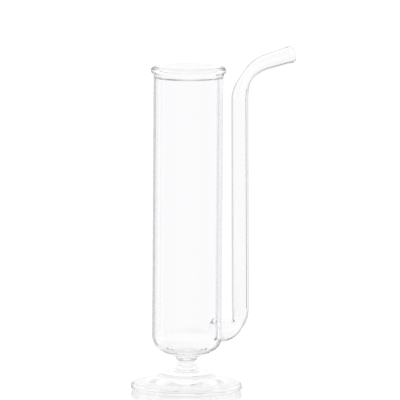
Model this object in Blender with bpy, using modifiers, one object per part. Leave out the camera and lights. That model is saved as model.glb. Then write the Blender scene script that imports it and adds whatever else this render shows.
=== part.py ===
"""A footed cylinder of clear laboratory glass with a bent side tube, as a flame worker builds it.

Metres, +Z up. The origin is the centre of the foot's flat underside. The cylinder stands on the
Z axis, and the side tube lies in the XZ plane, on the +X side. The object is seven pieces of glass
that are fused to each other, so neighbours face each other across a gap of FUSED_GAP.
"""

import math

import bpy
from mathutils import Vector
from mathutils.geometry import interpolate_bezier

MM = 0.001
FUSED_GAP = 0.3 * MM
MERGE = 0.00001

# Stock tubing: 40 mm for the cylinder, 10 mm for the side tube.
BODY_RADIUS = 20.0 * MM
BODY_WALL = 1.8 * MM
BODY_BORE_RADIUS = BODY_RADIUS - BODY_WALL
SIDE_RADIUS = 5.0 * MM
SIDE_WALL = 1.5 * MM

# Heights above the table.
FOOT_TOP = 12.25 * MM
STEM_TOP = 17.65 * MM
COLLAR_TOP = 18.9 * MM
BODY_BOTTOM = COLLAR_TOP + FUSED_GAP
BODY_TOP = 181.0 * MM
SIDE_PORT_HEIGHT = 33.4 * MM

# The foot: a dome that ends in a round lip, flat underneath.
FOOT_RADIUS = 32.05 * MM
FOOT_LIP_RADIUS = 2.45 * MM
FOOT_NECK_RADIUS = 7.2 * MM

# The stem: a bell under a narrow waist. A thin ring of glass joins it to the cylinder.
STEM_HEAD_RADIUS = 5.5 * MM
STEM_WAIST_RADIUS = 4.95 * MM
STEM_SHOULDER_RADIUS = 5.4 * MM
STEM_BASE_RADIUS = 6.9 * MM
COLLAR_RADIUS = 6.1 * MM
COLLAR_EDGE = 0.3 * MM

# The cylinder's rounded end: outside and inside are arcs about one centre.
END_CURVE_RADIUS = 8.8 * MM
END_CURVE_CENTRE = (BODY_RADIUS - END_CURVE_RADIUS, 30.8 * MM)
FLOOR_HEIGHT = 22.7 * MM

# The beaded rim. Its throat is a little narrower than the bore.
BEAD_RADIUS = 2.2 * MM
BEAD_CENTRE = (19.45 * MM, BODY_TOP + 4.6 * MM)
THROAT_RADIUS = BEAD_CENTRE[0] - BEAD_RADIUS
THROAT_BOTTOM = BODY_TOP + 1.4 * MM

# The side tube's route in the XZ plane, as the corners between its three straight runs.
SIDE_START_X = 24.9 * MM
LOWER_CORNER = Vector((35.1 * MM, SIDE_PORT_HEIGHT))
UPPER_CORNER = Vector((33.25 * MM, 184.1 * MM))
SPOUT_END = Vector((67.85 * MM, 191.8 * MM))
FLARE_RADIUS = 5.9 * MM
SPOUT_RADIUS = 4.45 * MM
SPOUT_LIP_RADIUS = 4.75 * MM
SPOUT_LIP_LENGTH = 1.6 * MM

# The lower bend is wide on its outer edge and pinched to a tight corner on its inner edge. Each edge
# is a Bezier curve: the vector of its first handle, and how far its last handle reaches back down.
LOWER_BEND_START_X = 25.4 * MM
LOWER_BEND_RISE = 12.6 * MM
OUTER_HANDLES = (Vector((6.0 * MM, 1.55 * MM)), 10.0 * MM)
INNER_HANDLES = (Vector((6.6 * MM, 0.0)), 9.5 * MM)

# The upper bend is an even arc, a little narrower in its middle.
UPPER_BEND = 22.5 * MM
UPPER_PINCH = 1.0 * MM

# The flared seal between the cylinder's wall and the side tube.
SEAL_ROOT_RADIUS = 7.3 * MM
SEAL_ROOT_X = 20.6 * MM
SEAL_WAIST_RADIUS = 6.3 * MM
SEAL_WAIST_X = 22.6 * MM
PORT_RADIUS = 3.5 * MM
PORT_END_X = BODY_RADIUS + 1 * MM

# Cutters and the parts of a piece that a cutter removes reach this far past the glass.
CUTTER_REACH = 4 * MM

BODY_STEPS = 48
STEM_STEPS = 32
SEAL_STEPS = 24
BEND_STEPS = 10
TUBE_BEVEL_RESOLUTION = 6


def clear_scene():
    for thing in list(bpy.data.objects):
        bpy.data.objects.remove(thing)


def new_collection(name):
    collection = bpy.data.collections.new(name)
    bpy.context.scene.collection.children.link(collection)
    return collection


def clear_glass(name, colour, roughness):
    """Clear borosilicate glass, with a Principled BSDF."""
    material = bpy.data.materials.new(name)
    material.use_nodes = True
    shader = material.node_tree.nodes["Principled BSDF"]
    shader.inputs["Base Color"].default_value = (*colour, 1.0)
    shader.inputs["Roughness"].default_value = roughness
    shader.inputs["Metallic"].default_value = 0.0
    shader.inputs["IOR"].default_value = 1.473
    shader.inputs["Transmission Weight"].default_value = 1.0
    return material


def arc(centre, radius, first_degrees, last_degrees, count):
    """count + 1 points of an arc in the (radius, height) plane."""
    points = []
    for i in range(count + 1):
        angle = math.radians(first_degrees + (last_degrees - first_degrees) * i / count)
        points.append((centre[0] + radius * math.cos(angle), centre[1] + radius * math.sin(angle)))
    return points


def turned(name, outline, steps, collection, closed=False):
    """A piece turned about its own Z axis. The outline runs down the outer side."""
    mesh = bpy.data.meshes.new(name)
    edges = [(i, i + 1) for i in range(len(outline) - 1)]
    if closed:
        edges.append((len(outline) - 1, 0))
    mesh.from_pydata([(r, 0.0, z) for r, z in outline], edges, [])
    thing = bpy.data.objects.new(name, mesh)
    collection.objects.link(thing)
    screw = thing.modifiers.new("turn", "SCREW")
    screw.axis = "Z"
    screw.angle = math.tau
    screw.steps = steps
    screw.render_steps = steps
    screw.use_merge_vertices = True
    screw.merge_threshold = MERGE
    screw.use_smooth_shade = True
    return thing


def make_cutter(thing):
    thing.hide_render = True
    thing.display_type = "WIRE"
    return thing


def cut(thing, cutter):
    boolean = thing.modifiers.new("cut by " + cutter.name, "BOOLEAN")
    boolean.operation = "DIFFERENCE"
    boolean.solver = "EXACT"
    boolean.object = cutter


def foot(collection):
    lip = (FOOT_RADIUS - FOOT_LIP_RADIUS, FOOT_LIP_RADIUS)
    outline = [(0.0, FOOT_TOP), (FOOT_NECK_RADIUS, FOOT_TOP), (8.5 * MM, 11.8 * MM)]
    outline += [(10.5 * MM, 11.4 * MM), (12.5 * MM, 10.8 * MM), (15.0 * MM, 9.7 * MM)]
    outline += [(17.8 * MM, 8.3 * MM), (23.0 * MM, 6.2 * MM), (27.0 * MM, 5.2 * MM)]
    outline += arc(lip, FOOT_LIP_RADIUS, 90, -90, 8)
    outline += [(0.0, 0.0)]
    thing = turned("foot", outline, BODY_STEPS, collection)
    thing.data.materials.append(clear_glass("foot_glass", (0.95, 0.96, 0.97), 0.02))
    return thing


def stem(collection):
    bottom = FOOT_TOP + FUSED_GAP
    outline = [(0.0, STEM_TOP), (STEM_HEAD_RADIUS, STEM_TOP), (5.1 * MM, 17.35 * MM)]
    outline += [(STEM_WAIST_RADIUS, 17.0 * MM), (5.1 * MM, 16.6 * MM), (STEM_SHOULDER_RADIUS, 16.1 * MM)]
    outline += [(5.5 * MM, 15.3 * MM), (5.95 * MM, 14.6 * MM), (6.5 * MM, 13.7 * MM)]
    outline += [(STEM_BASE_RADIUS, bottom), (0.0, bottom)]
    thing = turned("stem", outline, STEM_STEPS, collection)
    thing.data.materials.append(clear_glass("stem_glass", (0.94, 0.95, 0.97), 0.02))
    return thing


def stem_collar(collection):
    bottom = STEM_TOP + FUSED_GAP
    flat = COLLAR_RADIUS - COLLAR_EDGE
    outline = [(0.0, COLLAR_TOP), (flat, COLLAR_TOP)]
    outline += [(COLLAR_RADIUS, COLLAR_TOP - COLLAR_EDGE), (COLLAR_RADIUS, bottom + COLLAR_EDGE)]
    outline += [(flat, bottom), (0.0, bottom)]
    thing = turned("stem_collar", outline, STEM_STEPS, collection)
    thing.data.materials.append(clear_glass("collar_glass", (0.93, 0.94, 0.97), 0.02))
    return thing


def body_outside(grow):
    """The cylinder's rounded end on its outside, from the wall inwards, grown outwards."""
    return arc(END_CURVE_CENTRE, END_CURVE_RADIUS + grow, 0, -90, 8)


def vessel_tube(collection, port_cutter):
    inside = arc(END_CURVE_CENTRE, END_CURVE_RADIUS - BODY_WALL, -90, 0, 6)
    outline = [(0.0, FLOOR_HEIGHT)] + inside
    outline += [(BODY_BORE_RADIUS, BODY_TOP), (BODY_RADIUS, BODY_TOP)]
    outline += body_outside(0.0)
    outline += [(8.4 * MM, 20.75 * MM), (7.0 * MM, 20.0 * MM)]
    outline += [(COLLAR_RADIUS, BODY_BOTTOM), (0.0, BODY_BOTTOM)]
    thing = turned("vessel_tube", outline, BODY_STEPS, collection)
    cut(thing, port_cutter)
    thing.data.materials.append(clear_glass("vessel_glass", (0.96, 0.97, 0.98), 0.01))
    return thing


def rim_bead(collection):
    bottom = BODY_TOP + FUSED_GAP
    outline = arc(BEAD_CENTRE, BEAD_RADIUS, 180, -50, 12)
    outline += [(20.15 * MM, BODY_TOP + 1.7 * MM), (BODY_RADIUS, BODY_TOP + 0.9 * MM), (BODY_RADIUS, bottom)]
    outline += [(BODY_BORE_RADIUS, bottom), (17.6 * MM, BODY_TOP + 0.7 * MM), (THROAT_RADIUS, THROAT_BOTTOM)]
    thing = turned("rim_bead", outline, BODY_STEPS, collection, closed=True)
    thing.data.materials.append(clear_glass("rim_glass", (0.93, 0.94, 0.97), 0.01))
    return thing


def port_hole(cutters):
    """The hole in the cylinder's wall that opens into the side tube."""
    bpy.ops.mesh.primitive_cylinder_add(
        vertices=SEAL_STEPS,
        radius=PORT_RADIUS,
        depth=2 * (BODY_WALL + CUTTER_REACH),
        location=(BODY_RADIUS, 0.0, SIDE_PORT_HEIGHT),
        rotation=(0.0, math.pi / 2, 0.0),
    )
    thing = bpy.context.object
    thing.name = "port_cutter"
    for collection in thing.users_collection:
        collection.objects.unlink(thing)
    cutters.objects.link(thing)
    return make_cutter(thing)


def body_envelope(cutters):
    """The cylinder's outside with the fused gap around it, for shaping what is welded onto it."""
    radius = BODY_RADIUS + FUSED_GAP
    height = SIDE_PORT_HEIGHT + SEAL_ROOT_RADIUS + CUTTER_REACH
    outline = [(0.0, height), (radius, height)]
    outline += body_outside(FUSED_GAP)
    outline += [(0.0, END_CURVE_CENTRE[1] - END_CURVE_RADIUS - FUSED_GAP)]
    return make_cutter(turned("body_envelope", outline, BODY_STEPS, cutters))


def side_tube_seal(collection, envelope):
    """The flared weld: a ring about the port's axis, saddled onto the cylinder's wall."""
    front = SIDE_START_X - FUSED_GAP
    back = BODY_RADIUS - CUTTER_REACH
    mouth = FLARE_RADIUS - SIDE_WALL
    outline = [(mouth, front), (FLARE_RADIUS, front), (SEAL_WAIST_RADIUS, SEAL_WAIST_X)]
    outline += [(SEAL_ROOT_RADIUS, SEAL_ROOT_X), (SEAL_ROOT_RADIUS, back)]
    outline += [(PORT_RADIUS, back), (PORT_RADIUS, PORT_END_X)]
    thing = turned("side_tube_seal", outline, SEAL_STEPS, collection, closed=True)
    thing.location = (0.0, 0.0, SIDE_PORT_HEIGHT)
    thing.rotation_euler = (0.0, math.pi / 2, 0.0)
    cut(thing, envelope)
    thing.data.materials.append(clear_glass("seal_glass", (0.93, 0.94, 0.97), 0.02))
    return thing


def lower_bend():
    """Centres and outer radii along the lower bend, halfway between its two edges."""
    up = (UPPER_CORNER - LOWER_CORNER).normalized()
    aside = Vector((up.y, -up.x))
    start = Vector((LOWER_BEND_START_X, SIDE_PORT_HEIGHT))
    end = LOWER_CORNER + up * LOWER_BEND_RISE
    edges = []
    for side, (first_handle, last_handle) in ((1, OUTER_HANDLES), (-1, INNER_HANDLES)):
        first = start - Vector((0.0, side * FLARE_RADIUS))
        last = end + aside * side * SIDE_RADIUS
        handles = (first + first_handle, last - up * last_handle)
        edges.append(interpolate_bezier(first, *handles, last, BEND_STEPS + 1))
    centres = [(outer + inner) / 2 for outer, inner in zip(*edges)]
    radii = [(outer - inner).length / 2 for outer, inner in zip(*edges)]
    return centres, radii


def upper_bend():
    """Centres and outer radii along the arc that rounds off the upper corner. Glass tube narrows
    where it is bent hot."""
    back = (LOWER_CORNER - UPPER_CORNER).normalized()
    ahead = (SPOUT_END - UPPER_CORNER).normalized()
    half = back.angle(ahead) / 2
    centre = UPPER_CORNER + (back + ahead).normalized() * UPPER_BEND / math.sin(half)
    spoke = UPPER_CORNER + back * UPPER_BEND / math.tan(half) - centre
    travel = -back * UPPER_BEND
    sweep = math.pi - 2 * half
    centres = []
    radii = []
    for i in range(BEND_STEPS + 1):
        part = i / BEND_STEPS
        centres.append(centre + spoke * math.cos(sweep * part) + travel * math.sin(sweep * part))
        pinch = UPPER_PINCH * math.sin(math.pi * part) ** 2
        radii.append(SIDE_RADIUS + (SPOUT_RADIUS - SIDE_RADIUS) * part - pinch)
    return centres, radii


def side_tube(collection):
    start = Vector((SIDE_START_X, SIDE_PORT_HEIGHT))
    lip = SPOUT_END + (UPPER_CORNER - SPOUT_END).normalized() * SPOUT_LIP_LENGTH
    lower_points, lower_radii = lower_bend()
    upper_points, upper_radii = upper_bend()
    points = [start] + lower_points + upper_points + [lip, SPOUT_END]
    radii = [FLARE_RADIUS] + lower_radii + upper_radii + [SPOUT_RADIUS, SPOUT_LIP_RADIUS]

    curve = bpy.data.curves.new("side_tube", "CURVE")
    curve.dimensions = "3D"
    curve.bevel_depth = SIDE_RADIUS
    curve.bevel_resolution = TUBE_BEVEL_RESOLUTION
    spline = curve.splines.new("POLY")
    spline.points.add(len(points) - 1)
    for control, place, radius in zip(spline.points, points, radii):
        control.co = (place.x, 0.0, place.y, 1.0)
        control.radius = radius / SIDE_RADIUS
    spline.use_smooth = True

    thing = bpy.data.objects.new("side_tube", curve)
    collection.objects.link(thing)
    wall = thing.modifiers.new("wall", "SOLIDIFY")
    wall.thickness = SIDE_WALL
    wall.offset = -1.0
    wall.use_rim = True
    curve.materials.append(clear_glass("side_tube_glass", (0.95, 0.96, 0.98), 0.01))
    return thing


def main():
    clear_scene()
    pieces = new_collection("side_arm_glass_cylinder")
    cutters = new_collection("cutters")
    port_cutter = port_hole(cutters)
    envelope = body_envelope(cutters)
    foot(pieces)
    stem(pieces)
    stem_collar(pieces)
    vessel_tube(pieces, port_cutter)
    rim_bead(pieces)
    side_tube_seal(pieces, envelope)
    side_tube(pieces)


main()
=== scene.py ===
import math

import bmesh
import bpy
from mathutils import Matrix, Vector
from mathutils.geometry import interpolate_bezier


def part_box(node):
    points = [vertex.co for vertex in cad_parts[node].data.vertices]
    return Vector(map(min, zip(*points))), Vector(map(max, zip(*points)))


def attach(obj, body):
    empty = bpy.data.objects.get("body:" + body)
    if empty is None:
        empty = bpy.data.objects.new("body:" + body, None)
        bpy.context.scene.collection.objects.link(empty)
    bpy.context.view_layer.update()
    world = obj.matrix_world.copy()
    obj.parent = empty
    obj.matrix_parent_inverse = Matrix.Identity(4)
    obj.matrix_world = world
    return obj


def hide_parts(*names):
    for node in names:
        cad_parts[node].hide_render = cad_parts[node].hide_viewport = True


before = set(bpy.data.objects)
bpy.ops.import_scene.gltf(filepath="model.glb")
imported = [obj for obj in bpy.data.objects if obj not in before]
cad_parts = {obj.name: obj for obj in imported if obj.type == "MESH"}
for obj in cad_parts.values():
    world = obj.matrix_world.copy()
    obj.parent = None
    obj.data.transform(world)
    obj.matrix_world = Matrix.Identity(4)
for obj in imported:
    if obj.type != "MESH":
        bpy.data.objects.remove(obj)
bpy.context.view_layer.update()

# A footed cylinder of clear laboratory glass with a bent side tube, standing in a white studio.
#
# Metres, +Z up. The object is one continuous glass wall made of seven pieces that are fused to each
# other. Each visible piece here is a fine mesh that replaces its plain CAD node. Where two pieces are
# fused, both have a flat face with an invisible material, so that light passes from one to the next
# without a surface between them, as it does in the real glass.

MM = 0.001
BODY = "root"


# ---- Sizes, from the CAD boxes where the CAD says them ----

_, FOOT_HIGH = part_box("foot")
STEM_LOW, STEM_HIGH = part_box("stem")
COLLAR_LOW, COLLAR_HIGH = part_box("stem_collar")
VESSEL_LOW, VESSEL_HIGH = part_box("vessel_tube")
BEAD_LOW, BEAD_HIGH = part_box("rim_bead")
SEAL_LOW, SEAL_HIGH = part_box("side_tube_seal")
TUBE_LOW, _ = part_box("side_tube")

# Fused faces lie in the middle of the CAD's gap, this far apart.
WELD_GAP = 0.02 * MM
FOOT_JOIN = (FOOT_HIGH.z + STEM_LOW.z) / 2
STEM_JOIN = (STEM_HIGH.z + COLLAR_LOW.z) / 2
COLLAR_JOIN = (COLLAR_HIGH.z + VESSEL_LOW.z) / 2
RIM_JOIN = (VESSEL_HIGH.z + BEAD_LOW.z) / 2
TUBE_JOIN = (SEAL_HIGH.x + TUBE_LOW.x) / 2

# The cylinder. Its rounded end is an arc outside and an arc inside, about one (radius, height) centre.
BODY_RADIUS = VESSEL_HIGH.x
BODY_WALL = 1.8 * MM
BORE_RADIUS = BODY_RADIUS - BODY_WALL
END_CURVE_RADIUS = 8.8 * MM
END_CENTRE = (BODY_RADIUS - END_CURVE_RADIUS, 30.8 * MM)
INNER_CURVE_RADIUS = END_CURVE_RADIUS - BODY_WALL
END_CURVE_STOP = -78  # degrees, where the neck under the cylinder begins

# The foot, the stem's two necks and the collar between them.
FOOT_RADIUS = FOOT_HIGH.x
FOOT_LIP_RADIUS = 2.45 * MM
FOOT_NECK_RADIUS = 7.05 * MM
STEM_NECK_RADIUS = 5.55 * MM
COLLAR_RADIUS = COLLAR_HIGH.x
COLLAR_EDGE_TUCK = 0.05 * MM
COLLAR_EDGE_RISE = 0.25 * MM

# The beaded rim.
BEAD_RADIUS = 2.37 * MM
BEAD_CENTRE = (BEAD_HIGH.x - BEAD_RADIUS, BEAD_HIGH.z - BEAD_RADIUS)
THROAT_RADIUS = BEAD_CENTRE[0] - BEAD_RADIUS
BEAD_STOP = -54  # degrees, where the shoulder under the bead begins

# The side tube's port in the cylinder's wall, and the seal round it. Both faces of the wall leave out
# a window round the port, of as many rows as columns, which the port's own rings fill.
PORT_HEIGHT = (SEAL_LOW.z + SEAL_HIGH.z) / 2
PORT_RADIUS = 3.5 * MM
PORT_ROUNDING = 1.8 * MM
SEAL_ROOT_RADIUS = (SEAL_HIGH.z - SEAL_LOW.z) / 2
WINDOW_COLUMNS = 32
WINDOW_HALF_HEIGHT = 8 * MM

# The side tube: its radii, and its route in the XZ plane.
TUBE_WALL = 1.5 * MM
TUBE_RADIUS = 5.0 * MM
FLARE_RADIUS = 6.5 * MM
SPOUT_RADIUS = 4.45 * MM
SPOUT_END_RADIUS = 4.95 * MM
SPOUT_LIP_RADIUS = 5.15 * MM
SPOUT_LIP_LENGTH = 2.2 * MM
SPOUT_SWELL_START = 1.7 * MM
SPOUT_SWELL = 0.04 * MM
LOWER_CORNER = Vector((35.1 * MM, PORT_HEIGHT))
UPPER_CORNER = Vector((33.25 * MM, 184.1 * MM))
SPOUT_END = Vector((67.75 * MM, 192.35 * MM))
LOWER_BEND_START = Vector((25.4 * MM, PORT_HEIGHT))
LOWER_BEND_RISE = 12.6 * MM
# The lower bend's outer and inner edges are Bezier curves. Of each, this is the first handle and the
# length of the last, which lies along the riser.
OUTER_HANDLES = (Vector((6.5 * MM, 1.3 * MM)), 10.8 * MM)
INNER_HANDLES = (Vector((6.6 * MM, 0.0)), 9.5 * MM)
LOWER_BEND_STEPS = 72
UPPER_BEND_RADIUS = 22.5 * MM
UPPER_PINCH = 1.0 * MM

# Outlines that join those sizes: (radius, height) in millimetres. Their points were placed and
# then moved, by up to 0.7 mm, in a search over test renders. BEAD_RADIUS and BEAD_STOP were too.
FOOT_DOME = (
    (7.6, 12.05), (8.8, 11.6), (10.5, 11.05), (12.5, 11.05), (15.0, 9.95), (17.8, 8.0), (20.3, 7.4),
    (22.6, 6.65), (24.8, 5.6), (26.6, 5.55), (28.2, 5.0),
)
STEM_SIDE = (
    (4.85, 17.35), (4.9, 17.0), (4.65, 16.6), (4.9, 16.1), (5.7, 15.3), (5.45, 14.6), (6.2, 13.7),
    (7.05, 12.9),
)
VESSEL_FLOOR = ((0.5, 23.1), (6.0, 22.6), (9.0, 23.75))
VESSEL_NECK = ((9.1, 20.75), (7.1, 19.65), (6.3, 19.4))
RIM_SHOULDER = ((20.0, 182.3), (20.05, 181.8))
RIM_THROAT = ((17.85, 181.4), (17.2, 181.8), (17.1, 182.3), (17.3, 183.1))
# The same about the port's axis, with the distance from the cylinder's axis in place of the height.
# These were only placed one by one.
SEAL_WAIST = ((6.5, 23.9), (6.55, 22.8), (6.65, 21.9), (6.8, 21.0), (6.95, 20.35))
SEAL_BORE = ((3.7, 21.2), (4.45, 23.2))

# How fine the meshes are.
TURN_STEPS = 240
SMALL_TURN_STEPS = 120
TUBE_SIDES = 96
POINT_SPACING = 0.35 * MM
SPOUT_SPACING = 1 * MM
WALL_SPACING = 6 * MM
WINDOW_STEPS = (0.0, 0.2, 0.4, 0.6, 0.8, 1.0)
PORT_WELD_STEPS = (0.0, 0.25, 0.5, 0.75, 1.0)
PORT_EDGE_DEGREES = range(0, 90, 9)
SEAL_WELD_STEPS = 8
CREASE_ANGLE = math.radians(32)
MERGE_DISTANCE = 1e-7


# ---- Materials ----

GLASS_IOR = 1.473
LINE_DETAIL = 3.0
WAVE_DETAIL = 1.0
LINE_SHARE = 0.35
RELIEF_STRENGTH = 0.03  # of the waves, and of LINE_SHARE times the lines
RELIEF_HEIGHT = 0.1 * MM
HAZE = 0.02

THIN_TINT = (0.995, 0.995, 1.0)
THICK_TINT = (0.99, 0.99, 1.0)
# How the fine lines in the glass run: along the tubing, or round the pieces turned in the flame.
DRAWN = (900, 900, 12)
SPUN = (160, 160, 420)


def glass(name, tint, streak, wave):
    """Clear borosilicate: faint draw lines, slow waves in the wall and a little haze."""
    material = bpy.data.materials.new(name)
    material.use_nodes = True
    tree = material.node_tree
    shader = tree.nodes["Principled BSDF"]
    shader.inputs["Base Color"].default_value = (*tint, 1.0)
    shader.inputs["IOR"].default_value = GLASS_IOR
    shader.inputs["Transmission Weight"].default_value = 1.0

    place = tree.nodes.new("ShaderNodeTexCoord")
    stretch = tree.nodes.new("ShaderNodeMapping")
    stretch.inputs["Scale"].default_value = streak
    lines = tree.nodes.new("ShaderNodeTexNoise")
    lines.inputs["Scale"].default_value = 1.0
    lines.inputs["Detail"].default_value = LINE_DETAIL
    waves = tree.nodes.new("ShaderNodeTexNoise")
    waves.inputs["Scale"].default_value = wave
    waves.inputs["Detail"].default_value = WAVE_DETAIL
    relief = tree.nodes.new("ShaderNodeMath")
    relief.operation = "MULTIPLY_ADD"
    relief.inputs[1].default_value = LINE_SHARE
    bump = tree.nodes.new("ShaderNodeBump")
    bump.inputs["Strength"].default_value = RELIEF_STRENGTH
    bump.inputs["Distance"].default_value = RELIEF_HEIGHT
    haze = tree.nodes.new("ShaderNodeMapRange")
    haze.inputs["To Min"].default_value = 0.0
    haze.inputs["To Max"].default_value = HAZE

    tree.links.new(place.outputs["Object"], stretch.inputs["Vector"])
    tree.links.new(stretch.outputs["Vector"], lines.inputs["Vector"])
    tree.links.new(place.outputs["Object"], waves.inputs["Vector"])
    tree.links.new(lines.outputs["Fac"], relief.inputs[0])
    tree.links.new(waves.outputs["Fac"], relief.inputs[2])
    tree.links.new(relief.outputs["Value"], bump.inputs["Height"])
    tree.links.new(bump.outputs["Normal"], shader.inputs["Normal"])
    tree.links.new(lines.outputs["Fac"], haze.inputs["Value"])
    tree.links.new(haze.outputs["Result"], shader.inputs["Roughness"])
    return material


def weld_face():
    """Where two pieces are fused there is no surface, so these faces can't be seen."""
    material = bpy.data.materials.new("weld_face")
    material.use_nodes = True
    material.node_tree.nodes["Principled BSDF"].inputs["Alpha"].default_value = 0.0
    return material


WELD_FACE = weld_face()
VESSEL_GLASS = glass("vessel_glass", THIN_TINT, DRAWN, 90)
RIM_GLASS = glass("rim_glass", THICK_TINT, SPUN, 180)
TUBE_GLASS = glass("side_tube_glass", THIN_TINT, DRAWN, 160)
SEAL_GLASS = glass("seal_glass", THICK_TINT, SPUN, 220)
COLLAR_GLASS = glass("collar_glass", THICK_TINT, SPUN, 220)
STEM_GLASS = glass("stem_glass", THICK_TINT, SPUN, 220)
FOOT_GLASS = glass("foot_glass", THICK_TINT, SPUN, 120)


# ---- Curves ----

def in_metres(pairs):
    return [(first * MM, second * MM) for first, second in pairs]


def turns(count):
    """Angles once round, in radians."""
    return [math.tau * i / count for i in range(count)]


def arc(centre, radius, first_degrees, last_degrees):
    """Points of an arc in the (radius, height) plane, about POINT_SPACING apart."""
    sweep = math.radians(last_degrees - first_degrees)
    count = max(8, math.ceil(abs(sweep) * radius / POINT_SPACING))
    points = []
    for i in range(count + 1):
        angle = math.radians(first_degrees) + sweep * i / count
        points.append((centre[0] + radius * math.cos(angle), centre[1] + radius * math.sin(angle)))
    return points


def straight(start, end, spacing):
    """Points after start, up to and with end, at most spacing apart."""
    run = math.dist(start, end)
    count = max(1, math.ceil(run / spacing))
    return [
        (start[0] + (end[0] - start[0]) * i / count, start[1] + (end[1] - start[1]) * i / count)
        for i in range(1, count + 1)
    ]


def flowing(points):
    """A smooth curve through points: a Catmull-Rom spline with even steps."""
    ends = [2 * Vector(points[0]) - Vector(points[1])] + [Vector(p) for p in points]
    ends.append(2 * Vector(points[-1]) - Vector(points[-2]))
    curve = [tuple(points[0])]
    for before, start, end, after in zip(ends, ends[1:], ends[2:], ends[3:]):
        steps = max(3, math.ceil((end - start).length / POINT_SPACING))
        for i in range(1, steps + 1):
            t = i / steps
            place = 0.5 * (
                2 * start
                + (end - before) * t
                + (2 * before - 5 * start + 4 * end - after) * t * t
                + (3 * start - before - 3 * end + after) * t * t * t
            )
            curve.append(tuple(place))
    return curve


# ---- Meshes ----

def skin(shape, rings, closed=False, welds=(), left_out=()):
    """Faces from ring to ring. welds are the numbers of the rings that start a fused band, and
    left_out the (ring, column) numbers of faces that aren't made."""
    loops = [[shape.verts.new(place) for place in ring] for ring in rings]
    bands = list(zip(loops, loops[1:]))
    if closed:
        bands.append((loops[-1], loops[0]))
    for number, (upper, lower) in enumerate(bands):
        for column, corner in enumerate(upper):
            if (number, column) in left_out:
                continue
            beside = (column + 1) % len(upper)
            face = shape.faces.new((corner, lower[column], lower[beside], upper[beside]))
            face.material_index = int(number in welds)
    return loops


def cap(shape, loop, fused):
    """Closes a loop with a fan about its middle."""
    hub = shape.verts.new(sum((corner.co for corner in loop), Vector()) / len(loop))
    for column, corner in enumerate(loop):
        face = shape.faces.new((hub, corner, loop[(column + 1) % len(loop)]))
        face.material_index = int(fused)


def install(shape, node, material):
    """Makes the finished piece from its shape, in place of its CAD node."""
    bmesh.ops.remove_doubles(shape, verts=shape.verts, dist=MERGE_DISTANCE)
    bmesh.ops.recalc_face_normals(shape, faces=shape.faces)
    mesh = bpy.data.meshes.new(node + "_clear")
    shape.to_mesh(mesh)
    shape.free()
    mesh.materials.append(material)
    mesh.materials.append(WELD_FACE)
    mesh.shade_smooth()
    mesh.set_sharp_from_angle(angle=CREASE_ANGLE)
    piece = bpy.data.objects.new(node + "_clear", mesh)
    bpy.context.scene.collection.objects.link(piece)
    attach(piece, BODY)
    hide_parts(node)


def turned_rings(outline, steps):
    """Rings about the Z axis, from a (radius, height) outline."""
    return [[(r * math.cos(a), r * math.sin(a), z) for a in turns(steps)] for r, z in outline]


# ---- The foot, the stem and the collar: solid glass ----

def turned_solid(node, outline, steps, material, fused_bottom):
    """A solid piece from its (radius, height) outline, top first. Its top is a fused face."""
    shape = bmesh.new()
    loops = skin(shape, turned_rings(outline, steps))
    cap(shape, loops[0], fused=True)
    cap(shape, loops[-1], fused=fused_bottom)
    install(shape, node, material)


def foot():
    lip = (FOOT_RADIUS - FOOT_LIP_RADIUS, FOOT_LIP_RADIUS)
    top = (FOOT_NECK_RADIUS, FOOT_JOIN - WELD_GAP / 2)
    outline = flowing([top] + in_metres(FOOT_DOME) + [(lip[0], 2 * FOOT_LIP_RADIUS)])
    outline += arc(lip, FOOT_LIP_RADIUS, 90, -90)[1:]
    turned_solid("foot", outline, TURN_STEPS, FOOT_GLASS, fused_bottom=False)


def stem():
    top = (STEM_NECK_RADIUS, STEM_JOIN - WELD_GAP / 2)
    bottom = (FOOT_NECK_RADIUS, FOOT_JOIN + WELD_GAP / 2)
    outline = flowing([top] + in_metres(STEM_SIDE) + [bottom])
    turned_solid("stem", outline, SMALL_TURN_STEPS, STEM_GLASS, fused_bottom=True)


def stem_collar():
    top = (COLLAR_RADIUS, COLLAR_JOIN - WELD_GAP / 2)
    bottom = (STEM_NECK_RADIUS, STEM_JOIN + WELD_GAP / 2)
    middle = (COLLAR_RADIUS, (top[1] + bottom[1]) / 2)
    edge = (COLLAR_RADIUS - COLLAR_EDGE_TUCK, bottom[1] + COLLAR_EDGE_RISE)
    outline = flowing([top, middle, edge, bottom])
    turned_solid("stem_collar", outline, SMALL_TURN_STEPS, COLLAR_GLASS, fused_bottom=True)


# ---- The cylinder, its port and its rim ----

def wall_radius(height, depth):
    """The radius of the cylinder's wall at a height. depth is 0 at the outside and 1 at the inside."""
    bend = END_CURVE_RADIUS - depth * BODY_WALL
    drop = max(END_CENTRE[1] - height, 0.0)
    return END_CENTRE[0] + math.sqrt(bend**2 - drop**2)


def on_wall(side, height, depth):
    """The place on the wall that is this far to the side of the port's axis, at a height."""
    return (math.sqrt(wall_radius(height, depth) ** 2 - side**2), side, height)


def window_heights():
    """The rows of the window that is left out of each wall round the port, from the top."""
    steps = [1 - 2 * i / WINDOW_COLUMNS for i in range(WINDOW_COLUMNS + 1)]
    return [PORT_HEIGHT + WINDOW_HALF_HEIGHT * step for step in steps]


def window_edge(depth):
    """The (side, height) places along the edge of a wall's window, once round."""
    half = WINDOW_COLUMNS // 2
    columns = [math.tau * i / TURN_STEPS for i in range(-half, half + 1)]
    rows = window_heights()[::-1]
    walk = [(turn, rows[0]) for turn in columns[:-1]]
    walk += [(columns[-1], row) for row in rows[:-1]]
    walk += [(turn, rows[-1]) for turn in columns[:0:-1]]
    walk += [(columns[0], row) for row in rows[:0:-1]]
    return [(wall_radius(row, depth) * math.sin(turn), row) for turn, row in walk]


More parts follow.
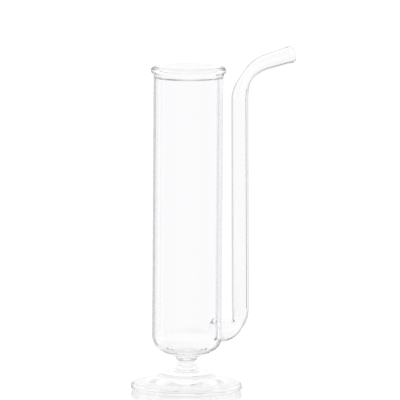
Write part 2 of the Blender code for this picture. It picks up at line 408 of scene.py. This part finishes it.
def round_port(edge, radius):
    """The (side, height) places on a circle about the port's axis, one for each place on an edge."""
    circle = []
    for side, height in edge:
        angle = math.atan2(height - PORT_HEIGHT, side)
        circle.append((radius * math.cos(angle), PORT_HEIGHT + radius * math.sin(angle)))
    return circle


def from_edge_to_circle(edge, circle, depth):
    """Rings on a wall, from its window's edge to a circle round the port."""
    rings = []
    for step in WINDOW_STEPS:
        places = [Vector(start).lerp(Vector(end), step) for start, end in zip(edge, circle)]
        rings.append([on_wall(*place, depth) for place in places])
    return rings


def port_rings():
    """Rings from the outer wall's window, through the port, to the inner wall's window. Under the
    seal the outer wall is a fused face, a weld's gap down. The port's edge in the bore is rounded."""
    gap = WELD_GAP / BODY_WALL
    outer_edge = window_edge(0.0)
    inner_edge = window_edge(1.0)
    rings = from_edge_to_circle(outer_edge, round_port(outer_edge, SEAL_ROOT_RADIUS), 0.0)
    fused_start = len(rings)
    for step in PORT_WELD_STEPS:
        radius = SEAL_ROOT_RADIUS + (PORT_RADIUS - SEAL_ROOT_RADIUS) * step
        rings.append([on_wall(*place, gap) for place in round_port(outer_edge, radius)])
    fused_bands = range(fused_start, len(rings) - 1)
    for degrees in PORT_EDGE_DEGREES:
        lean = math.radians(degrees)
        radius = PORT_RADIUS + PORT_ROUNDING * (1 - math.cos(lean))
        depth = gap + (1 - gap) * math.sin(lean)
        rings.append([on_wall(*place, depth) for place in round_port(inner_edge, radius)])
    inner_circle = round_port(inner_edge, PORT_RADIUS + PORT_ROUNDING)
    rings += from_edge_to_circle(inner_edge, inner_circle, 1.0)[::-1]
    return rings, fused_bands


def vessel_tube():
    top = RIM_JOIN - WELD_GAP / 2
    bottom = COLLAR_JOIN + WELD_GAP / 2
    rows = window_heights()
    drop = rows[-1] - END_CENTRE[1]
    outer_start = math.degrees(math.asin(drop / END_CURVE_RADIUS))
    inner_start = math.degrees(math.asin(drop / INNER_CURVE_RADIUS))

    # Inside from the bottom up, then outside from the top down.
    bend = arc(END_CENTRE, INNER_CURVE_RADIUS, -90, inner_start)
    inside = flowing(in_metres(VESSEL_FLOOR) + [bend[0]]) + bend[1:-1]
    inner_window = len(inside)
    inside += [(wall_radius(row, 1.0), row) for row in rows[::-1]]
    inside += straight(inside[-1], (BORE_RADIUS, top), WALL_SPACING)

    outside = [(BODY_RADIUS, top)]
    outside += straight(outside[-1], (BODY_RADIUS, rows[0]), WALL_SPACING)[:-1]
    outer_window = len(inside) + len(outside)
    outside += [(wall_radius(row, 0.0), row) for row in rows]
    outside += arc(END_CENTRE, END_CURVE_RADIUS, outer_start, END_CURVE_STOP)[1:]
    outside += flowing([outside[-1]] + in_metres(VESSEL_NECK) + [(COLLAR_RADIUS, bottom)])[1:]

    half = WINDOW_COLUMNS // 2
    left_out = {
        (start + row, column % TURN_STEPS)
        for start in (inner_window, outer_window)
        for row in range(WINDOW_COLUMNS)
        for column in range(-half, half)
    }
    shape = bmesh.new()
    rings = turned_rings(inside + outside, TURN_STEPS)
    loops = skin(shape, rings, welds=(len(inside) - 1,), left_out=left_out)
    cap(shape, loops[0], fused=False)
    cap(shape, loops[-1], fused=True)
    rings, fused_bands = port_rings()
    skin(shape, rings, welds=fused_bands)
    install(shape, "vessel_tube", VESSEL_GLASS)


def rim_bead():
    bottom = RIM_JOIN + WELD_GAP / 2
    throat_end = (THROAT_RADIUS, BEAD_CENTRE[1])
    outline = arc(BEAD_CENTRE, BEAD_RADIUS, 180, BEAD_STOP)
    outline += flowing([outline[-1]] + in_metres(RIM_SHOULDER) + [(BODY_RADIUS, bottom)])[1:]
    fused_band = len(outline) - 1
    outline += flowing([(BORE_RADIUS, bottom)] + in_metres(RIM_THROAT) + [throat_end])[:-1]
    shape = bmesh.new()
    skin(shape, turned_rings(outline, TURN_STEPS), closed=True, welds=(fused_band,))
    install(shape, "rim_bead", RIM_GLASS)


# ---- The side tube and its seal ----

def seal_ring(radius, forward):
    """A ring of the seal. Close to the cylinder it follows the curve of its wall, and at the fused
    front it is flat."""
    front = TUBE_JOIN - WELD_GAP / 2
    fade = ((front - forward) / (front - BODY_RADIUS)) ** 2
    ring = []
    for angle in turns(SMALL_TURN_STEPS):
        side = radius * math.cos(angle)
        height = PORT_HEIGHT + radius * math.sin(angle)
        sag = BODY_RADIUS - on_wall(side, height, 0.0)[0]
        ring.append((forward - sag * fade, side, height))
    return ring


def side_tube_seal():
    front = TUBE_JOIN - WELD_GAP / 2
    root = (SEAL_ROOT_RADIUS, BODY_RADIUS)
    mouth = (FLARE_RADIUS - TUBE_WALL, front)
    outline = flowing([(FLARE_RADIUS, front)] + in_metres(SEAL_WAIST) + [root])
    back_start = len(outline) - 1
    for i in range(1, SEAL_WELD_STEPS + 1):
        radius = SEAL_ROOT_RADIUS + (PORT_RADIUS - SEAL_ROOT_RADIUS) * i / SEAL_WELD_STEPS
        outline.append((radius, BODY_RADIUS))
    fused_back = range(back_start, len(outline) - 1)
    outline += flowing([outline[-1]] + in_metres(SEAL_BORE) + [mouth])[1:]
    shape = bmesh.new()
    rings = [seal_ring(radius, forward) for radius, forward in outline]
    skin(shape, rings, closed=True, welds=(*fused_back, len(rings) - 1))
    install(shape, "side_tube_seal", SEAL_GLASS)


def lower_bend():
    """Centres, directions across and outer radii along the lower bend, halfway between its edges."""
    up = (UPPER_CORNER - LOWER_CORNER).normalized()
    aside = Vector((up.y, -up.x))
    end = LOWER_CORNER + up * LOWER_BEND_RISE
    edges = []
    for side, (first_handle, last_handle) in ((1, OUTER_HANDLES), (-1, INNER_HANDLES)):
        first = LOWER_BEND_START - Vector((0.0, side * FLARE_RADIUS))
        last = end + aside * side * TUBE_RADIUS
        handles = (first + first_handle, last - up * last_handle)
        edges.append(interpolate_bezier(first, *handles, last, LOWER_BEND_STEPS + 1))
    centres = [(outer + inner) / 2 for outer, inner in zip(*edges)]
    acrosses = [(inner - outer).normalized() for outer, inner in zip(*edges)]
    radii = [(outer - inner).length / 2 for outer, inner in zip(*edges)]
    return centres, acrosses, radii


def upper_bend():
    """The same along the upper bend, which narrows a little in the middle."""
    down = (LOWER_CORNER - UPPER_CORNER).normalized()
    ahead = (SPOUT_END - UPPER_CORNER).normalized()
    half = down.angle(ahead) / 2
    middle = UPPER_CORNER + (down + ahead).normalized() * UPPER_BEND_RADIUS / math.sin(half)
    spoke = UPPER_CORNER + down * UPPER_BEND_RADIUS / math.tan(half) - middle
    travel = -down * UPPER_BEND_RADIUS
    sweep = math.pi - 2 * half
    steps = math.ceil(sweep * UPPER_BEND_RADIUS / POINT_SPACING)
    centres = []
    acrosses = []
    radii = []
    for i in range(steps + 1):
        turn = sweep * i / steps
        centres.append(middle + spoke * math.cos(turn) + travel * math.sin(turn))
        acrosses.append((centres[-1] - middle).normalized())
        even = TUBE_RADIUS + (SPOUT_RADIUS - TUBE_RADIUS) * i / steps
        radii.append(even - UPPER_PINCH * math.sin(math.pi * i / steps) ** 2)
    return centres, acrosses, radii


def tube_ring(centre, across, radius):
    """A ring round a place on the route. across is the ring's own up, in the XZ plane."""
    ring = []
    for angle in turns(TUBE_SIDES):
        place = centre + across * radius * math.cos(angle)
        ring.append((place.x, radius * math.sin(angle), place.y))
    return ring


def side_tube():
    ahead = (SPOUT_END - UPPER_CORNER).normalized()
    up = (UPPER_CORNER - LOWER_CORNER).normalized()
    above = Vector((-ahead.y, ahead.x))
    beside = Vector((-up.y, up.x))
    start = Vector((TUBE_JOIN + WELD_GAP / 2, PORT_HEIGHT))
    lip_start = SPOUT_END - ahead * SPOUT_LIP_LENGTH
    lower = list(zip(*lower_bend()))
    upper = list(zip(*upper_bend()))
    riser = [
        (Vector(place), beside, TUBE_RADIUS)
        for place in straight(lower[-1][0], upper[0][0], WALL_SPACING)[:-1]
    ]
    places = straight(upper[-1][0], lip_start, SPOUT_SPACING)
    spread = (SPOUT_END_RADIUS - SPOUT_RADIUS) / len(places)
    spout = [
        (Vector(place), above, SPOUT_RADIUS + spread * (i + 1))
        for i, place in enumerate(places)
    ]
    route = [(start, Vector((0.0, 1.0)), FLARE_RADIUS)] + lower + riser + upper + spout

    # The lip is fire-polished: the wall swells a little and turns over, from outside to inside.
    bore = SPOUT_END_RADIUS - TUBE_WALL
    half_wall = (SPOUT_LIP_RADIUS - bore) / 2
    turn = arc((-half_wall, bore + half_wall), half_wall, 90, -90)
    swell_start = (-SPOUT_LIP_LENGTH, SPOUT_END_RADIUS)
    swell_middle = (-SPOUT_SWELL_START, SPOUT_END_RADIUS + SPOUT_SWELL)
    lip = flowing([swell_start, swell_middle, turn[0]])[1:] + turn[1:]

    rings = [tube_ring(*place) for place in route]
    rings += [tube_ring(SPOUT_END + ahead * along, above, radius) for along, radius in lip]
    rings += [tube_ring(centre, across, radius - TUBE_WALL) for centre, across, radius in route[::-1]]
    shape = bmesh.new()
    skin(shape, rings, closed=True, welds=(len(rings) - 1,))
    install(shape, "side_tube", TUBE_GLASS)


# ---- The studio ----

CAMERA_AZIMUTH = math.radians(-28)
CAMERA_ELEVATION = math.radians(6.8)
CAMERA_DISTANCE = 3.0
FRAME_WIDTH = 0.2302
ROLL = math.radians(0.4)
SENSOR_WIDTH = 36.0
AIM_RIGHT = 7.04 * MM
AIM_UP = 110.6 * MM

FORWARD = Vector((-math.sin(CAMERA_AZIMUTH), math.cos(CAMERA_AZIMUTH), 0.0))
RIGHT = Vector((math.cos(CAMERA_AZIMUTH), math.sin(CAMERA_AZIMUTH), 0.0))
UP = Vector((0.0, 0.0, 1.0))

# Brightness of what is white and even.
BACKDROP = 1.0
CEILING = 1.05
UNDERSIDE = 0.8
TABLE = 1.05
# SHADED_TABLE is painted shade: the glow of the disc that stands for the table in the foot's shadow.
SHADED_TABLE = 0.8

# The room that lines the glass, as (degrees to the right of straight ahead, brightness), in three
# tiers. At eye level it has dark gaps between white screens. Below them it has the table's far part,
# which is partly in shade, and below that the table close by. The stops come from a least-squares fit
# of the room to the reference view, and those of the two lower tiers were then changed one by one.
SCREENS = (
    (-179, 0.83), (-110, 0.78), (-90, 0.88), (-84, 1.05), (-66, 1.0), (-48, 0.97), (-45, 0.76),
    (-41, 0.76), (-38, 1.15), (-34, 1.15), (-32, 0.33), (-26, 0.33), (-24, 0.92), (-13, 0.8),
    (-12, 0.0), (-6, 0.0), (-5, 1.0), (33, 0.88), (35, 1.15), (46, 1.15), (48, 0.64), (54, 0.64),
    (56, 0.03), (64, 0.03), (66, 1.15), (74, 1.15), (76, 0.68), (90, 0.8), (135, 0.77), (179, 0.83),
)
FAR_TABLE = (
    (-179, 0.3), (-150, 0.1), (-120, 0.1), (-95, 0.45), (-75, 0.8), (-50, 0.9), (-40, 0.75), (-36, 0.5),
    (-25, 0.5), (-20, 0.8), (-7, 1.0), (6, 1.0), (8, 0.2), (18, 0.2), (21, 0.7), (38, 0.65), (44, 0.8),
    (50, 1.0), (62, 1.1), (95, 0.8), (115, 0.5), (179, 0.4),
)
NEAR_TABLE = (
    (-179, 0.4), (-140, 0.3), (-110, 0.1), (-85, 0.45), (-50, 0.65), (-30, 1.0), (-19, 1.0), (-16, 0.15),
    (-6, 0.1), (-4, 0.5), (4, 0.5), (6, 0.1), (12, 0.1), (18, 0.2), (21, 0.6), (30, 0.75), (45, 1.0),
    (75, 0.85), (92, 0.4), (110, 0.35), (179, 0.4),
)
ROOM_TINT = (0.98, 0.975, 1.0)
# Where each height of the room gives way to the next, as sines of the elevation.
CEILING_EDGE = (-0.05, 0.05)
FAR_EDGE = (-0.145, -0.165)
NEAR_EDGE = (-0.4, -0.43)
UNDERSIDE_EDGE = (-0.8, -0.9)

# The table top and the disc of painted shadow under the foot, which lie just under the object.
TABLE_RADIUS = 4.0
TABLE_HEIGHT = -0.03 * MM
SHADED_RADIUS = 34 * MM
SHADED_HEIGHT = -0.06 * MM
DISC_CORNERS = 96
POLISH_ROUGHNESS = 0.03
POLISH_IOR = 1.3
POLISH_STRENGTH = 1.7
BOUNCES = 32


def camera():
    view = -FORWARD * math.cos(CAMERA_ELEVATION) + UP * math.sin(CAMERA_ELEVATION)
    target = RIGHT * AIM_RIGHT + UP * AIM_UP
    data = bpy.data.cameras.new("camera")
    data.sensor_width = SENSOR_WIDTH
    data.lens = SENSOR_WIDTH * CAMERA_DISTANCE / FRAME_WIDTH
    thing = bpy.data.objects.new("camera", data)
    bpy.context.scene.collection.objects.link(thing)
    thing.location = target + view * CAMERA_DISTANCE
    thing.rotation_euler = view.to_track_quat("Z", "Y").to_matrix().to_4x4().to_euler()
    thing.rotation_euler.rotate_axis("Z", ROLL)
    bpy.context.scene.camera = thing


def studio_light():
    """White all round. Light that has been turned back by a glass surface comes from a room with
    grey panels to its sides, which draws the lines along the edges of the glass."""
    world = bpy.data.worlds.new("studio")
    bpy.context.scene.world = world
    world.use_nodes = True
    tree = world.node_tree
    background = tree.nodes["Background"]

    def math_node(operation, first, second):
        node = tree.nodes.new("ShaderNodeMath")
        node.operation = operation
        for slot, value in enumerate((first, second)):
            if isinstance(value, float):
                node.inputs[slot].default_value = value
            else:
                tree.links.new(value, node.inputs[slot])
        return node.outputs[0]

    def dot(direction, axis):
        node = tree.nodes.new("ShaderNodeVectorMath")
        node.operation = "DOT_PRODUCT"
        tree.links.new(direction, node.inputs[0])
        node.inputs[1].default_value = axis
        return node.outputs["Value"]

    def fade(value, limits):
        node = tree.nodes.new("ShaderNodeMapRange")
        node.inputs["From Min"].default_value = limits[0]
        node.inputs["From Max"].default_value = limits[1]
        tree.links.new(value, node.inputs["Value"])
        return node.outputs["Result"]

    def mix(factor, first, second):
        node = tree.nodes.new("ShaderNodeMix")
        node.data_type = "RGBA"
        tree.links.new(factor, node.inputs["Factor"])
        for slot, value in (("A", first), ("B", second)):
            if isinstance(value, float):
                node.inputs[slot].default_value = (value, value, value, 1.0)
            else:
                tree.links.new(value, node.inputs[slot])
        return node.outputs["Result"]

    def ramp(fraction, stops):
        node = tree.nodes.new("ShaderNodeValToRGB")
        tree.links.new(fraction, node.inputs["Fac"])
        elements = node.color_ramp.elements
        elements.remove(elements[1])
        for degrees, brightness in stops:
            stop = elements.new(degrees / 360 + 0.5)
            stop.color = (*(brightness * tint for tint in ROOM_TINT), 1.0)
        elements.remove(elements[0])
        return node.outputs["Color"]

    direction = tree.nodes.new("ShaderNodeTexCoord").outputs["Generated"]
    angle = math_node("ARCTAN2", dot(direction, RIGHT), dot(direction, FORWARD))
    turn = math_node("ADD", math_node("DIVIDE", angle, math.tau), 0.5)
    height = dot(direction, UP)
    room = mix(fade(height, FAR_EDGE), ramp(turn, SCREENS), ramp(turn, FAR_TABLE))
    room = mix(fade(height, NEAR_EDGE), room, ramp(turn, NEAR_TABLE))
    room = mix(fade(height, UNDERSIDE_EDGE), room, UNDERSIDE)
    room = mix(fade(height, CEILING_EDGE), room, CEILING)
    path = tree.nodes.new("ShaderNodeLightPath")
    turned_back = math_node("GREATER_THAN", path.outputs["Glossy Depth"], 0.5)
    tree.links.new(mix(turned_back, BACKDROP, room), background.inputs["Color"])


def level_disc(name, radius, height):
    bpy.ops.mesh.primitive_circle_add(
        vertices=DISC_CORNERS, radius=radius, fill_type="NGON", location=(0, 0, height)
    )
    disc = bpy.context.object
    disc.name = name
    return disc


def empty_material(name):
    """A material with only an output node, with its node tree and that node's surface socket."""
    material = bpy.data.materials.new(name)
    material.use_nodes = True
    tree = material.node_tree
    tree.nodes.clear()
    return material, tree, tree.nodes.new("ShaderNodeOutputMaterial").inputs["Surface"]


def floor():
    """A glossy white table top, which is see-through from below."""
    top = level_disc("table_top", TABLE_RADIUS, TABLE_HEIGHT)
    top.visible_transmission = False
    top.visible_glossy = False
    material, tree, surface = empty_material("white_acrylic")
    sheet = tree.nodes.new("ShaderNodeMixShader")
    white = tree.nodes.new("ShaderNodeEmission")
    white.inputs["Strength"].default_value = TABLE
    gloss = tree.nodes.new("ShaderNodeBsdfGlossy")
    gloss.inputs["Color"].default_value = (1.0, 1.0, 1.0, 1.0)
    gloss.inputs["Roughness"].default_value = POLISH_ROUGHNESS
    sheen = tree.nodes.new("ShaderNodeFresnel")
    sheen.inputs["IOR"].default_value = POLISH_IOR
    polish = tree.nodes.new("ShaderNodeMath")
    polish.operation = "MULTIPLY"
    polish.use_clamp = True
    polish.inputs[1].default_value = POLISH_STRENGTH
    side = tree.nodes.new("ShaderNodeNewGeometry")
    clear = tree.nodes.new("ShaderNodeBsdfTransparent")
    sides = tree.nodes.new("ShaderNodeMixShader")
    tree.links.new(sheen.outputs["Fac"], polish.inputs[0])
    tree.links.new(polish.outputs["Value"], sheet.inputs["Fac"])
    tree.links.new(white.outputs["Emission"], sheet.inputs[1])
    tree.links.new(gloss.outputs["BSDF"], sheet.inputs[2])
    tree.links.new(side.outputs["Backfacing"], sides.inputs["Fac"])
    tree.links.new(sheet.outputs["Shader"], sides.inputs[1])
    tree.links.new(clear.outputs["BSDF"], sides.inputs[2])
    tree.links.new(sides.outputs["Shader"], surface)
    top.data.materials.append(material)


def shaded_table():
    """The table under the foot, which only the glass shows. It is a painted shadow: a disc that glows
    dimmer than the table top, in place of the foot's shadow on the table.
    """
    disc = level_disc("shaded_table", SHADED_RADIUS, SHADED_HEIGHT)
    disc.visible_camera = False
    material, tree, surface = empty_material("shaded_white")
    shade = tree.nodes.new("ShaderNodeEmission")
    shade.inputs["Strength"].default_value = SHADED_TABLE
    tree.links.new(shade.outputs["Emission"], surface)
    disc.data.materials.append(material)


def light_paths():
    """Enough bounces for light that runs along inside the thick glass."""
    cycles = bpy.context.scene.cycles
    cycles.max_bounces = BOUNCES
    cycles.glossy_bounces = BOUNCES
    cycles.transmission_bounces = BOUNCES
    cycles.transparent_max_bounces = BOUNCES


foot()
stem()
stem_collar()
vessel_tube()
rim_bead()
side_tube_seal()
side_tube()
camera()
studio_light()
floor()
shaded_table()
light_paths()
bpy.context.scene.view_settings.view_transform = "Standard"
bpy.context.view_layer.update()
